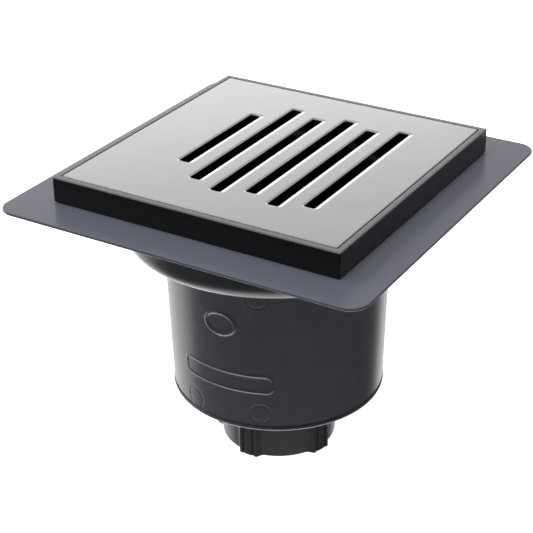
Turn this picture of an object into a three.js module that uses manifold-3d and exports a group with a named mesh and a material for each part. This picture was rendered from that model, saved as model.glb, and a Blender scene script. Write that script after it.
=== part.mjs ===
// Floor drain for a tiled floor: slotted grate, height-adjustable frame, sealing flange, bell trap and
// compression outlet for 40 mm waste pipe. Millimetres, +Z up, origin at the centre of the outlet nut's
// bottom face.
import * as THREE from 'three';
import { mergeVertices } from 'three/addons/utils/BufferGeometryUtils.js';
import Module from 'manifold-3d';

const wasm = await Module();
wasm.setup();

// ---------------------------------------------------------------- driving dimensions
const GAP = 0.3; // between pieces that touch
const THROUGH = 1; // how far a cutter runs past the face that it opens
const FINE = 48; // facets round a large circle
const COARSE = 32; // facets round a small circle
const ROUGH = 12; // facets round a stud or a screw

// heights of the main levels
const NUT_TOP = 31;
const BASE_BOTTOM = 32.5;
const BODY_JOINT = 35.4; // where the shell meets the lip of the base
const TUB_BOTTOM = 115.7;
const FLANGE_TOP = 142.5;
const RIM_TOP = 155.25;

// grate
const GRATE = { side: 143.6, thick: 1.5, corner: 0.8 };
const SLOT = { width: 5.7, pitch: 15, count: 6, firstX: -32.6, corner: 1.2 };
const SLOT_ENDS = { short: [-30, 34.5], far: [-43.5, 50.4], near: [-49.6, 44.5] }; // along Y
const STUD = { radius: 2, length: 7, x: 61, y: 58 };
const CLIP = { radius: 4.4, thick: 0.8 };
const CARRIER = { side: 143, thick: 3, wall: 2, windowX: [-41, 51], windowY: [-56, 56] };

// top frame
const FRAME = { side: 150, wall: 2.9, floor: 2.1, corner: 0.8 };
const NECK = { outer: 51.4, inner: 49, bottom: 100, funnel: 2 };
const NECK_GROOVE = { bottom: 103, height: 4.2, depth: 1.3, sealLip: 0.8 };

// flange and tub
const FLANGE = { side: 188.8, thick: 1.5, corner: 9 };
const TUB = { outer: 74.6, inner: 72.8, foot: 70.3, shoulder: 123, floor: 2.3, hole: 56.3 };
const TUB_CORNER = { foot: 69.4, top: 123.5 }; // slope inside the tub, from its floor to its wall
const SCREW = { count: 6, circle: 60.5, radius: 1.9, head: 3.5, headHeight: 2.2, length: 13.6 };
const RECESS = { length: 3.9, width: 0.8, depth: 1 };
const BOSS = { radius: 4.2, drop: 2.8 };
const GASKET = { inner: 56.6, outer: 68.8, thick: 2 };

// body
const SHELL = { top: 55.7, bottom: 53.2, bore: 52.2, boreEnd: 98, wall: 2.5, flange: 70.4, flangeThick: 3 };
const CLAMP = { inner: 52.8, outer: 72.2, thick: 3.5 };
const BASE = { lip: 53.5, floorTop: 36 };
const PLUG = { outer: 50.3, wall: 1.9, top: 42 }; // wall that stands inside the shell
const KERB = { outer: 44, wall: 1.4, top: 39 }; // ring that centres the bell
const SPIGOT = { outer: 24.8, mouth: 10.3, pipe: 20.4, pipeEnd: 23.5, stop: 18.6 };
const CONE = { width: 2.8, height: 3.7 }; // seat of the cone seal in the spigot's mouth
const SOCKET = { bore: 21.6, bottom: 26, outer: 26, top: 40 };

// trap
const PIPE = { outer: 21, inner: 18.6, top: 100.5, collar: 23.6, collarThick: 2 };
const PIPE_GROOVE = { bottom: 30, height: 3, depth: 1.2 };
const BELL = { skirt: 42, shoulder: 41, spring: 100, crown: 112.5, wall: 1.8, mouth: 45.5 };
const BELL_LEG = { count: 4, width: 12 };
const GRIP = { length: 26, thick: 3.2, top: 121, corner: 4 };

// outlet
const NUT = { foot: 29.2, outer: 30.4, bore: 25.6, hole: 20.9, lip: 3.1, chamfer: 0.6 };
const LOBE = { count: 5, first: -89, reach: 31.8, faceWidth: 9.6, rootWidth: 12.4 };
const RING = { inner: 20.6, outer: 25, thick: 1.7 };
const SEAL_CONE = { outer: 22.7, height: 2.8 };

// levels that follow from them
const FLANGE_UNDER = FLANGE_TOP - FLANGE.thick;
const FRAME_BOTTOM = FLANGE_TOP + GAP;
const TRAY_FLOOR = FRAME_BOTTOM + FRAME.floor;
const PLATE_UNDER = RIM_TOP - GRATE.thick;
const CARRIER_TOP = PLATE_UNDER - GAP;
const CARRIER_BOTTOM = TRAY_FLOOR + GAP;
const TUB_FLOOR = TUB_BOTTOM + TUB.floor;
const GASKET_BOTTOM = TUB_FLOOR + GAP;
const SHELL_FLANGE_BOTTOM = GASKET_BOTTOM + GASKET.thick + GAP;
const SHELL_TOP = SHELL_FLANGE_BOTTOM + SHELL.flangeThick;
const CLAMP_BOTTOM = SHELL_TOP + GAP;
const SCREW_SEAT = CLAMP_BOTTOM + CLAMP.thick + GAP;
const LIP_TOP = BODY_JOINT - GAP;
const RING_BOTTOM = NUT.lip + GAP;
const SEAL_BOTTOM = RING_BOTTOM + RING.thick + GAP;

// ---------------------------------------------------------------- materials
const paint = (color, roughness, metalness = 0) =>
  new THREE.MeshStandardMaterial({ color, roughness, metalness });
const MATERIALS = {
  steel: paint(0xc4c3c1, 0.38, 1),
  screwSteel: paint(0xa9a9a8, 0.3, 1),
  frame: paint(0x141416, 0.42),
  flange: paint(0x4a4a53, 0.4),
  body: paint(0x3b3b3f, 0.45),
  nut: paint(0x2c2c2f, 0.5),
  trap: paint(0x1c1c1f, 0.25),
  rubber: paint(0x18181a, 0.8),
};

// ---------------------------------------------------------------- solids
function signedVolume(position, index) {
  const [a, b, c] = [new THREE.Vector3(), new THREE.Vector3(), new THREE.Vector3()];
  let volume = 0;
  for (let i = 0; i < index.length; i += 3) {
    a.fromBufferAttribute(position, index[i]);
    b.fromBufferAttribute(position, index[i + 1]);
    c.fromBufferAttribute(position, index[i + 2]);
    volume += a.dot(b.cross(c));
  }
  return volume;
}

// A closed three.js geometry as a manifold solid, with its faces turned outwards.
function toSolid(geometry) {
  const bare = geometry.clone();
  bare.deleteAttribute('normal');
  bare.deleteAttribute('uv');
  const merged = mergeVertices(bare, 1e-4);
  const flip = signedVolume(merged.attributes.position, merged.index.array) < 0;
  const triVerts = [];
  for (let i = 0; i < merged.index.count; i += 3) {
    const [a, b, c] = merged.index.array.slice(i, i + 3);
    if (a !== b && b !== c && c !== a) triVerts.push(a, ...(flip ? [c, b] : [b, c]));
  }
  return new wasm.Manifold(
    new wasm.Mesh({
      numProp: 3,
      vertProperties: Float32Array.from(merged.attributes.position.array),
      triVerts: Uint32Array.from(triVerts),
    }),
  );
}

// A ring or a capped body of revolution about Z. The profile is a list of [radius, height].
function revolve(profile, segments = FINE) {
  const points = profile.map(([radius, height]) => new THREE.Vector2(radius, height));
  const onAxis = profile[0][0] === 0 && profile.at(-1)[0] === 0;
  if (!onAxis) points.push(points[0].clone());
  return toSolid(new THREE.LatheGeometry(points, segments).rotateX(Math.PI / 2));
}

const disc = (radius, bottom, top, segments = FINE) =>
  revolve([[0, bottom], [radius, bottom], [radius, top], [0, top]], segments);

const tube = (inner, outer, bottom, top, segments = FINE) =>
  revolve([[inner, bottom], [outer, bottom], [outer, top], [inner, top]], segments);

function extrude(shape, bottom, top, curveSegments = 3) {
  const settings = { depth: top - bottom, bevelEnabled: false, curveSegments };
  return toSolid(new THREE.ExtrudeGeometry(shape, settings).translate(0, 0, bottom));
}

function roundedRectangle([left, right], [front, back], radius) {
  const shape = new THREE.Shape();
  const corners = [[right, front, -90], [right, back, 0], [left, back, 90], [left, front, 180]];
  for (const [x, y, from] of corners) {
    const start = THREE.MathUtils.degToRad(from);
    const centreX = x - Math.sign(x - (left + right) / 2) * radius;
    const centreY = y - Math.sign(y - (front + back) / 2) * radius;
    shape.absarc(centreX, centreY, radius, start, start + Math.PI / 2);
  }
  return shape;
}

const square = (side, radius, bottom, top, curveSegments = 3) => {
  const half = [-side / 2, side / 2];
  return extrude(roundedRectangle(half, half, radius), bottom, top, curveSegments);
};

// Copies of a solid built at angle 0, turned about Z.
function around(solid, count, first = 0) {
  const copies = [];
  for (let i = 0; i < count; i += 1) copies.push(solid.rotate([0, 0, first + (360 / count) * i]));
  return copies;
}

const joined = (solids) => solids.reduce((whole, solid) => whole.add(solid));

const drain = new THREE.Group();

function addPiece(name, solid, material) {
  const { vertProperties, triVerts } = solid.getMesh();
  const geometry = new THREE.BufferGeometry();
  geometry.setAttribute('position', new THREE.BufferAttribute(vertProperties, 3));
  geometry.setIndex(new THREE.BufferAttribute(triVerts, 1));
  geometry.computeVertexNormals();
  const mesh = new THREE.Mesh(geometry, material);
  mesh.name = name;
  drain.add(mesh);
}

// ---------------------------------------------------------------- grate
const STUD_PLACES = [[1, 1], [-1, 1], [-1, -1], [1, -1]].map(([x, y]) => [x * STUD.x, y * STUD.y]);
const STUD_BOTTOM = PLATE_UNDER - GAP - STUD.length;

function slotCutter(number) {
  const x = SLOT.firstX + SLOT.pitch * number;
  const ends = number === 0 ? SLOT_ENDS.short : number % 2 ? SLOT_ENDS.far : SLOT_ENDS.near;
  const outline = roundedRectangle([x - SLOT.width / 2, x + SLOT.width / 2], ends, SLOT.corner);
  return extrude(outline, PLATE_UNDER - THROUGH, RIM_TOP + THROUGH);
}

function gratePlate() {
  let plate = square(GRATE.side, GRATE.corner, PLATE_UNDER, RIM_TOP);
  for (let number = 0; number < SLOT.count; number += 1) plate = plate.subtract(slotCutter(number));
  return plate;
}

// A square ring of channel section, open underneath, with a pierced pad at each stud.
function grateCarrier() {
  const { side, thick, wall, windowX, windowY } = CARRIER;
  const outer = square(side, 1, CARRIER_BOTTOM, CARRIER_TOP);
  const window = extrude(
    roundedRectangle(windowX, windowY, 4),
    CARRIER_BOTTOM - THROUGH,
    CARRIER_TOP + THROUGH,
  );
  const channelTop = CARRIER_TOP - thick;
  const channel = square(side - 2 * wall, 1, CARRIER_BOTTOM - THROUGH, channelTop).subtract(
    extrude(
      roundedRectangle(
        [windowX[0] - wall, windowX[1] + wall],
        [windowY[0] - wall, windowY[1] + wall],
        4 + wall,
      ),
      CARRIER_BOTTOM - 2 * THROUGH,
      channelTop + THROUGH,
    ),
  );
  let carrier = outer.subtract(window).subtract(channel);
  for (const [x, y] of STUD_PLACES) {
    const hole = disc(STUD.radius + GAP, channelTop - THROUGH, CARRIER_TOP + THROUGH, ROUGH);
    carrier = carrier.subtract(hole.translate([x, y, 0]));
  }
  return carrier;
}

function addGrate() {
  addPiece('grate_plate', gratePlate(), MATERIALS.steel);
  addPiece('grate_carrier', grateCarrier(), MATERIALS.frame);
  const clipTop = CARRIER_TOP - CARRIER.thick - GAP;
  const stud = disc(STUD.radius, STUD_BOTTOM, PLATE_UNDER - GAP, ROUGH);
  const clip = tube(STUD.radius + GAP, CLIP.radius, clipTop - CLIP.thick, clipTop, ROUGH);
  STUD_PLACES.forEach(([x, y], i) => {
    addPiece(`plate_stud_${i + 1}`, stud.translate([x, y, 0]), MATERIALS.screwSteel);
    addPiece(`stud_clip_${i + 1}`, clip.translate([x, y, 0]), MATERIALS.screwSteel);
  });
}

// ---------------------------------------------------------------- top frame
// A shallow square tray whose floor falls into a round neck. The neck carries a seal groove.
function topFrame() {
  const { side, wall, corner } = FRAME;
  const { outer, inner, bottom, funnel } = NECK;
  const groove = NECK_GROOVE;
  const shell = square(side, corner, FRAME_BOTTOM, RIM_TOP).add(disc(outer, bottom, TRAY_FLOOR - GAP));
  const tray = square(side - 2 * wall, corner, TRAY_FLOOR, RIM_TOP + THROUGH);
  const bore = revolve([
    [0, bottom - THROUGH],
    [inner, bottom - THROUGH],
    [inner, TRAY_FLOOR - funnel],
    [inner + funnel, TRAY_FLOOR],
    [inner + funnel, TRAY_FLOOR + THROUGH],
    [0, TRAY_FLOOR + THROUGH],
  ]);
  const seat = tube(
    outer - groove.depth,
    outer + THROUGH,
    groove.bottom,
    groove.bottom + groove.height,
  );
  return shell.subtract(tray).subtract(bore).subtract(seat);
}

function neckSeal() {
  const inner = NECK.outer - NECK_GROOVE.depth + GAP;
  const outer = SHELL.bore - GAP;
  const bottom = NECK_GROOVE.bottom + GAP;
  const top = NECK_GROOVE.bottom + NECK_GROOVE.height - GAP;
  const root = outer - NECK_GROOVE.sealLip;
  return revolve([[inner, bottom], [root, bottom], [outer, (bottom + top) / 2], [root, top], [inner, top]]);
}

// ---------------------------------------------------------------- flange, tub and clamp
function flangeTub() {
  const { outer, inner, foot, shoulder, hole } = TUB;
  const outside = [[0, FLANGE_TOP - GAP], [outer, FLANGE_TOP - GAP]];
  const steps = 5;
  for (let i = 0; i <= steps; i += 1) {
    const angle = (Math.PI / 2 / steps) * i;
    outside.push([
      foot + (outer - foot) * Math.cos(angle),
      shoulder - (shoulder - TUB_BOTTOM) * Math.sin(angle),
    ]);
  }
  outside.push([0, TUB_BOTTOM]);
  const flange = square(FLANGE.side, FLANGE.corner, FLANGE_UNDER, FLANGE_TOP, 6);
  const hollow = revolve([
    [0, TUB_FLOOR],
    [TUB_CORNER.foot, TUB_FLOOR],
    [inner, TUB_CORNER.top],
    [inner, FLANGE_TOP + THROUGH],
    [0, FLANGE_TOP + THROUGH],
  ]);
  const boss = disc(BOSS.radius, TUB_BOTTOM - BOSS.drop, TUB_FLOOR - GAP, ROUGH);
  const pilot = disc(SCREW.radius + GAP, SCREW_SEAT - SCREW.length - GAP, FLANGE_TOP, ROUGH);
  const bosses = joined(around(boss.translate([SCREW.circle, 0, 0]), SCREW.count));
  const pilots = joined(around(pilot.translate([SCREW.circle, 0, 0]), SCREW.count));
  const throat = disc(hole, TUB_BOTTOM - THROUGH, TUB_FLOOR + THROUGH);
  return flange.add(revolve(outside)).add(bosses).subtract(hollow).subtract(throat).subtract(pilots);
}

// Clearance holes for the clamp screws, through whatever lies between the two heights.
function screwHoles(bottom, top) {
  const hole = disc(SCREW.radius + GAP, bottom - THROUGH, top + THROUGH, ROUGH);
  return joined(around(hole.translate([SCREW.circle, 0, 0]), SCREW.count));
}

function bodyGasket() {
  const top = GASKET_BOTTOM + GASKET.thick;
  return tube(GASKET.inner, GASKET.outer, GASKET_BOTTOM, top).subtract(screwHoles(GASKET_BOTTOM, top));
}

function clampRing() {
  const top = CLAMP_BOTTOM + CLAMP.thick;
  return tube(CLAMP.inner, CLAMP.outer, CLAMP_BOTTOM, top).subtract(screwHoles(CLAMP_BOTTOM, top));
}

// Pan-head screw with a cross recess.
function clampScrew() {
  const { radius, head, headHeight, length } = SCREW;
  const body = revolve(
    [
      [0, SCREW_SEAT - length],
      [radius, SCREW_SEAT - length + radius],
      [radius, SCREW_SEAT],
      [head, SCREW_SEAT],
      [head, SCREW_SEAT + headHeight * 0.5],
      [head * 0.6, SCREW_SEAT + headHeight],
      [0, SCREW_SEAT + headHeight],
    ],
    ROUGH,
  );
  const top = SCREW_SEAT + headHeight;
  const arm = new THREE.BoxGeometry(RECESS.length, RECESS.width, 2 * RECESS.depth).translate(0, 0, top);
  const recess = toSolid(arm).add(toSolid(arm.clone().rotateZ(Math.PI / 2)));
  return body.subtract(recess).translate([SCREW.circle, 0, 0]);
}

function addFlange() {
  addPiece('flange_tub', flangeTub(), MATERIALS.flange);
  addPiece('body_gasket', bodyGasket(), MATERIALS.rubber);
  addPiece('clamp_ring', clampRing(), MATERIALS.body);
  around(clampScrew(), SCREW.count).forEach((screw, i) => {
    addPiece(`clamp_screw_${i + 1}`, screw, MATERIALS.screwSteel);
  });
}

// ---------------------------------------------------------------- body
function bodyShell() {
  const { top, bottom, bore, boreEnd, wall, flange } = SHELL;
  const shell = revolve([
    [bottom, BODY_JOINT],
    [top, SHELL_FLANGE_BOTTOM],
    [flange, SHELL_FLANGE_BOTTOM],
    [flange, SHELL_TOP],
    [bore, SHELL_TOP],
    [bore, boreEnd],
    [bottom - wall, BODY_JOINT],
  ]);
  return shell.subtract(screwHoles(SHELL_FLANGE_BOTTOM, SHELL_TOP));
}

// Disc with a lip under the shell, a plug inside it, the outlet spigot and the standpipe socket.
function bodyBase() {
  const { lip, floorTop } = BASE;
  return revolve([
    [SPIGOT.outer, BASE_BOTTOM],
    [lip, BASE_BOTTOM],
    [lip, LIP_TOP],
    [PLUG.outer, LIP_TOP],
    [PLUG.outer, PLUG.top],
    [PLUG.outer - PLUG.wall, PLUG.top],
    [PLUG.outer - PLUG.wall, floorTop],
    [KERB.outer, floorTop],
    [KERB.outer, KERB.top],
    [KERB.outer - KERB.wall, KERB.top],
    [KERB.outer - KERB.wall, floorTop],
    [SOCKET.outer, floorTop],
    [SOCKET.outer, SOCKET.top],
    [SOCKET.bore, SOCKET.top],
    [SOCKET.bore, SOCKET.bottom],
    [SPIGOT.stop, SOCKET.bottom],
    [SPIGOT.stop, SPIGOT.pipeEnd],
    [SPIGOT.pipe, SPIGOT.pipeEnd],
    [SPIGOT.pipe, SPIGOT.mouth + CONE.height],
    [SPIGOT.pipe + CONE.width, SPIGOT.mouth],
    [SPIGOT.outer, SPIGOT.mouth],
  ]);
}

// ---------------------------------------------------------------- trap
function standpipe() {
  const { outer, inner, top, collar, collarThick } = PIPE;
  const groove = PIPE_GROOVE;
  const collarBottom = SOCKET.top + GAP;
  return revolve(
    [
      [inner, SOCKET.bottom + GAP],
      [outer, SOCKET.bottom + GAP],
      [outer, groove.bottom],
      [outer - groove.depth, groove.bottom],
      [outer - groove.depth, groove.bottom + groove.height],
      [outer, groove.bottom + groove.height],
      [outer, collarBottom],
      [collar, collarBottom],
      [collar, collarBottom + collarThick],
      [outer, collarBottom + collarThick],
      [outer, top],
      [inner, top],
    ],
    COARSE,
  );
}

function standpipeSeal() {
  const inner = PIPE.outer - PIPE_GROOVE.depth + GAP;
  const bottom = PIPE_GROOVE.bottom + GAP;
  return tube(inner, SOCKET.bore - GAP, bottom, bottom + PIPE_GROOVE.height - 2 * GAP, COARSE);
}

// The dome is a quarter ellipse. Windows at the foot of the skirt let the water in between the legs.
function trapBell() {
  const { skirt, shoulder, spring, crown, wall, mouth } = BELL;
  const foot = BASE.floorTop + GAP;
  const dome = (thinner) => {
    const points = [];
    const steps = 6;
    for (let i = 0; i <= steps; i += 1) {
      const angle = (Math.PI / 2 / steps) * i;
      points.push([
        i === steps ? 0 : (shoulder - thinner) * Math.cos(angle),
        spring - thinner + (crown - spring) * Math.sin(angle),
      ]);
    }
    return points;
  };
  const outside = revolve([[0, foot], [skirt, foot], ...dome(0)]);
  const inside = revolve([[0, foot - THROUGH], [skirt - wall, foot - THROUGH], ...dome(wall)]);
  const grip = toSolid(
    new THREE.ExtrudeGeometry(
      roundedRectangle([-GRIP.length / 2, GRIP.length / 2], [spring + wall, GRIP.top], GRIP.corner),
      { depth: GRIP.thick, bevelEnabled: false, curveSegments: 3 },
    )
      .translate(0, 0, -GRIP.thick / 2)
      .rotateX(Math.PI / 2),
  );
  const legAngle = THREE.MathUtils.radToDeg(BELL_LEG.width / skirt);
  const half = Math.tan(THREE.MathUtils.degToRad((360 / BELL_LEG.count - legAngle) / 2)) * skirt;
  const windowShape = new THREE.Shape([
    new THREE.Vector2(0, 0),
    new THREE.Vector2(skirt + THROUGH, -half),
    new THREE.Vector2(skirt + THROUGH, half),
  ]);
  const windows = joined(around(extrude(windowShape, foot - THROUGH, mouth), BELL_LEG.count));
  return outside.add(grip).subtract(inside).subtract(windows);
}

function addBody() {
  addPiece('body_shell', bodyShell(), MATERIALS.body);
  addPiece('body_base', bodyBase(), MATERIALS.body);
  addPiece('standpipe', standpipe(), MATERIALS.trap);
  addPiece('standpipe_seal', standpipeSeal(), MATERIALS.rubber);
  addPiece('trap_bell', trapBell(), MATERIALS.trap);
}

// ---------------------------------------------------------------- outlet
// Cone seal whose slope follows the mouth of the spigot.
function outletSeal() {
  const shoulder = SPIGOT.mouth - GAP;
  return revolve(
    [
      [RING.inner, SEAL_BOTTOM],
      [RING.outer, SEAL_BOTTOM],
      [RING.outer, shoulder],
      [SEAL_CONE.outer, shoulder],
      [RING.inner, shoulder + SEAL_CONE.height],
    ],
    COARSE,
  );
}

function outletNut() {
  const { foot, outer, bore, hole, lip, chamfer } = NUT;
  const ring = revolve([
    [hole, 0],
    [foot - chamfer, 0],
    [foot, chamfer],
    [outer, NUT_TOP - chamfer],
    [outer - chamfer, NUT_TOP],
    [bore, NUT_TOP],
    [bore, lip],
    [hole, lip],
  ]);
  const inside = (bore + foot) / 2;
  const outline = new THREE.Shape([
    new THREE.Vector2(inside, -LOBE.rootWidth / 2),
    new THREE.Vector2(foot, -LOBE.rootWidth / 2),
    new THREE.Vector2(LOBE.reach, -LOBE.faceWidth / 2),
    new THREE.Vector2(LOBE.reach, LOBE.faceWidth / 2),
    new THREE.Vector2(foot, LOBE.rootWidth / 2),
    new THREE.Vector2(inside, LOBE.rootWidth / 2),
  ]);
  const lobes = around(extrude(outline, 0, NUT_TOP - chamfer), LOBE.count, LOBE.first);
  return joined([ring, ...lobes]);
}

function addOutlet() {
  addPiece('outlet_seal', outletSeal(), MATERIALS.rubber);
  addPiece(
    'slip_ring',
    tube(RING.inner, RING.outer, RING_BOTTOM, RING_BOTTOM + RING.thick, COARSE),
    MATERIALS.trap,
  );
  addPiece('outlet_nut', outletNut(), MATERIALS.nut);
}

addGrate();
addPiece('top_frame', topFrame(), MATERIALS.frame);
addPiece('neck_seal', neckSeal(), MATERIALS.rubber);
addFlange();
addBody();
addOutlet();

export default drain;
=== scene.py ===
"""Looks of a floor drain with a slotted grate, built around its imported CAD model.

Every piece is a finely rounded mesh that stands for one CAD node. Meshes are written in millimetres, in
the frame of the CAD model, and scaled to metres once, in to_object().
"""

import math

import bmesh
import bpy
from mathutils import Matrix, Quaternion, Vector
from mathutils.geometry import tessellate_polygon


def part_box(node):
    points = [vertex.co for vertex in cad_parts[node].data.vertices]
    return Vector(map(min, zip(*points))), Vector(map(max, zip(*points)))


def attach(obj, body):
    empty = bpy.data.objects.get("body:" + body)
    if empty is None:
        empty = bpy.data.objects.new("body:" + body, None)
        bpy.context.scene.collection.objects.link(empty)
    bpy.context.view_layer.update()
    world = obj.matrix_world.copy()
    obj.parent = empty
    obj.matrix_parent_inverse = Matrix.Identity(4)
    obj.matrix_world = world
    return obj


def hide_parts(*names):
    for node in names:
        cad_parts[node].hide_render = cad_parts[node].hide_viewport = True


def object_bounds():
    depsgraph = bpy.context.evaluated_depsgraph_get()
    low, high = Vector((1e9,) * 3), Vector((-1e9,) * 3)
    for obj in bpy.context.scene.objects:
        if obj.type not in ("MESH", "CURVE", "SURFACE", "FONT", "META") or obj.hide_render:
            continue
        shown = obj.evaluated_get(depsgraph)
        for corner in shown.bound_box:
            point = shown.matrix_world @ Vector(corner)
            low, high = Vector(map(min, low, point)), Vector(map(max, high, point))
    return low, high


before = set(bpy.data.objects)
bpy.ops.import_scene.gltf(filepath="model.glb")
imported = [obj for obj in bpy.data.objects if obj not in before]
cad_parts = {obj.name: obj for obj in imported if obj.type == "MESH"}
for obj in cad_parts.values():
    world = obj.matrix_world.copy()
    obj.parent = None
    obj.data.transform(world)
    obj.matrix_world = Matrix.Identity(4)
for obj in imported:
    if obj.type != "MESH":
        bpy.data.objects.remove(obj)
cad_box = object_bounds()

MM = 0.001


# ---------------------------------------------------------------- sizes, in millimetres
class Span:
    """Place and size of a CAD node at rest."""

    def __init__(self, node):
        low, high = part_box(node)
        self.left, self.front, self.bottom = (value / MM for value in low)
        self.right, self.back, self.top = (value / MM for value in high)
        self.radius = (self.right - self.left) / 2


plate = Span("grate_plate")
carrier = Span("grate_carrier")
tray = Span("top_frame")
tub = Span("flange_tub")
gasket = Span("body_gasket")
clamp = Span("clamp_ring")
shell = Span("body_shell")
base = Span("body_base")
pipe = Span("standpipe")
pipe_seal = Span("standpipe_seal")
bell = Span("trap_bell")
cone = Span("outlet_seal")
ring = Span("slip_ring")
nut = Span("outlet_nut")
neck_ring = Span("neck_seal")
screw = Span("clamp_screw_1")
stud = Span("plate_stud_1")
clip = Span("stud_clip_1")

GAP = 0.3  # between pieces that touch
SLOT = {"width": 5.7, "pitch": 15, "count": 6, "first": -32.6, "corner": 1.2}
SLOT_SHORT, SLOT_FAR, SLOT_NEAR = (-30, 34.5), (-43.5, 50.4), (-49.6, 44.5)  # ends along Y
PLATE = {
    "inset": 0.3,  # on each side, from the CAD plate
    "corner": 0.8,
    "roll": 0.6,  # width and drop of the rolled rim
    "drop": 0.4,
    "bevel": 2.0,  # width and drop of the slope along a slot
    "bevel_drop": 0.5,
    "chamfer": 0.15,  # at its underside
}
BEVEL_SHARE = {"left": 0.4, "right": 1, "front": 0.6, "back": 0.4}  # of the slope's width, by side of a slot
CARRIER = {"thick": 3, "wall": 2, "window": (-41, 51, -56, 56), "corner": 4, "edge": 0.4}
STUD_X, STUD_Y, STUD_RADIUS = 61, 58, 2
TRAY = {"wall": 2.9, "floor": 2.1, "corner": 0.8}
NECK = {"outer": 51.4, "inner": 49, "funnel": 2, "seat": 50.1, "seat_bottom": 103, "seat_top": 107.2}
FLANGE = {"thick": 1.5, "corner": 9}
TUB = {"outer": 74.6, "inner": 72.8, "foot": 70.3, "shoulder": 123, "bottom": 115.7, "floor": 118}
TUB_HOLE, TUB_SLOPE, TUB_SLOPE_TOP = 56.3, 69.4, 123.5
SCREW_CIRCLE, SCREW_COUNT, SCREW_RADIUS, SCREW_HEAD = 60.5, 6, 1.9, 3.5
BOSS_RADIUS = 4.2
GASKET_HOLE, CLAMP_HOLE = 56.6, 52.8  # radii
SHELL = {"top": 55.7, "foot": 53.2, "bore": 52.2, "bore_end": 98, "wall": 2.5, "collar": 3}
BASE = {"bottom": 32.5, "floor": 36, "plug": 50.3, "plug_wall": 1.9}
BASE_LIP = {"radius": 53.5, "top": 35.1, "groove": 0.8}
KERB = {"outer": 44, "wall": 1.4, "top": 39}
SPIGOT = {"outer": 24.8, "bore": 20.4, "stop": 18.6, "stop_bottom": 23.5, "cone": 2.8, "cone_height": 3.7}
SOCKET = {"bore": 21.6, "outer": 26, "bottom": 26, "top": 40}
PIPE = {"outer": 21, "inner": 18.6, "collar": 23.6, "collar_thick": 2}
PIPE_SEAT = {"radius": 19.8, "bottom": 30, "top": 33}
BELL = {"skirt": 42, "shoulder": 41, "spring": 100, "crown": 112.5, "wall": 1.8, "mouth": 45.5}
BELL_LEGS, BELL_LEG_WIDTH = 4, 12
GRIP_LENGTH, GRIP_THICK, GRIP_CORNER = 26, 3.2, 4
SEAL = {"shoulder": 22.7, "wall": 4.4}
NUT = {"foot": 29.2, "outer": 31.2, "bore": 25.6, "hole": 20.9, "lip": 3.1, "rim": 2.5}
LOBE = {"count": 5, "first": -89, "reach": 31.8, "face": 9.6, "root": 12.4}
LOBE_GROOVE = {"rib": 1.7, "width": 0.9, "depth": 0.7}  # each lobe has two, a rib's width from its sides
THREAD_PITCH = 3

LARGE, SMALL, TINY = 192, 128, 48  # steps round a large circle, a small one and a fixing
ARC_STEP = math.radians(15)  # of a rounded edge
SHARP = math.radians(34)  # edges that turn by more stay sharp
MERGE = 1e-4  # points closer than this are one point
NORMAL_WEIGHT = 80  # how far large faces decide the shading of the edges beside them


# ---------------------------------------------------------------- outlines and meshes
def soften(points, closed=True):
    """Outline of (x, y) or (x, y, radius) corners, with an arc in each corner that has a radius."""
    out = []
    count = len(points)
    for i, point in enumerate(points):
        corner = Vector(point[:2])
        radius = point[2] if len(point) > 2 else 0
        if not radius or (not closed and i in (0, count - 1)):
            out.append(tuple(corner))
            continue
        back = Vector(points[i - 1][:2]) - corner
        ahead = Vector(points[(i + 1) % count][:2]) - corner
        half = back.angle(ahead) / 2
        reach = min(radius / math.tan(half), back.length * 0.49, ahead.length * 0.49)
        radius = reach * math.tan(half)
        back.normalize()
        ahead.normalize()
        centre = corner + (back + ahead).normalized() * (radius / math.sin(half))
        start, end = corner + back * reach - centre, corner + ahead * reach - centre
        sweep = start.angle_signed(end)
        steps = max(2, math.ceil(abs(sweep) / ARC_STEP))
        for k in range(steps + 1):
            turned = start.copy()
            turned.rotate(Matrix.Rotation(-sweep * k / steps, 2))
            out.append(tuple(centre + turned))
    return out


def strips(loops, closed=True):
    """Points and faces between matching loops; the last loop joins the first one if closed."""
    count = len(loops[0])
    points = [point for loop in loops for point in loop]
    faces = []
    for i in range(len(loops) - (0 if closed else 1)):
        a, b = i * count, (i + 1) % len(loops) * count
        for j in range(count):
            k = (j + 1) % count
            faces.append((a + j, a + k, b + k, b + j))
    return points, faces


def capped(loops):
    """Points and faces of a closed body: the skin between the loops, and a flat face at each end."""
    count = len(loops[0])
    points, faces = strips(loops, closed=False)
    faces.append(tuple(range(count)))
    faces.append(tuple(len(points) - count + i for i in range(count)))
    return points, faces


def polar(radius, turn, height):
    return (radius * math.cos(turn), radius * math.sin(turn), height)


def revolve(outline, steps=LARGE):
    """An outline of (radius, height) points turned about Z."""
    turns = [2 * math.pi * i / steps for i in range(steps)]
    return strips([[polar(radius, turn, height) for turn in turns] for radius, height in outline])


def pin(radius, bottom, top):
    """Plain upright cylinder, used to cut a hole."""
    return revolve([(0, bottom), (radius, bottom), (radius, top), (0, top)], TINY)


def ring_outline(inner, outer, bottom, top, inner_edge, outer_edge):
    """Section of a flat ring, with a radius for its inner and its outer edges."""
    return [
        (inner, bottom, inner_edge),
        (outer, bottom, outer_edge),
        (outer, top, outer_edge),
        (inner, top, inner_edge),
    ]


def block(left, right, front, back, bottom, top, corner=0.0, edge=0.0):
    """Upright block with rounded corners and edges."""
    rims = soften([(1, bottom), (0, bottom, edge), (0, top, edge), (1, top)], closed=False)[1:-1]
    return capped(
        [
            rectangle(left + depth, right - depth, front + depth, back - depth, corner, height)
            for depth, height in rims
        ]
    )


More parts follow.
